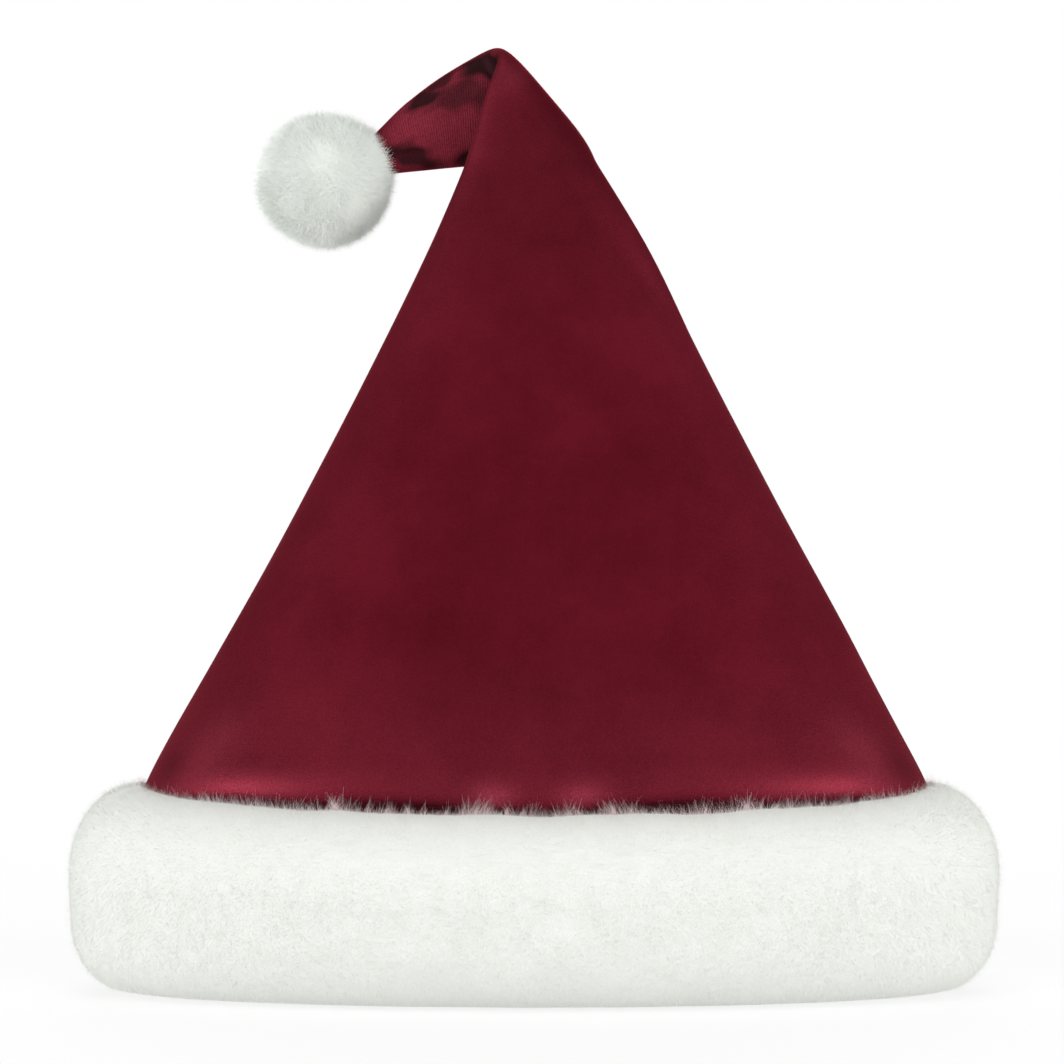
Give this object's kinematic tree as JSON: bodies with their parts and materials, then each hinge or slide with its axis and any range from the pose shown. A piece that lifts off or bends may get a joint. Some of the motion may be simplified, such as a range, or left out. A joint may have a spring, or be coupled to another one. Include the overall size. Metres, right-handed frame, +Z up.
{
  "type": "elf hat",
  "caption": "Pointed satin hat that stands on a deep white plush cuff, its tip folded over behind and ending in a fur pompom at one side.",
  "frame": {"origin": "middle of the oval that the cuff rests on, on the floor", "axes": "+Z up through the crown, +X to the right across the width and +Y away from the viewer, with the folded tip and the pompom behind and to the left"},
  "size_m": [0.316, 0.188, 0.3187],
  "materials": {
    "satin": "burgundy satin velour",
    "plush": "short white plush",
    "long_pile": "white fur of longer pile"
  },
  "bodies": {
    "root": {"crown": "satin", "cuff": "plush", "pompom": "long_pile"}
  },
  "joints": []
}
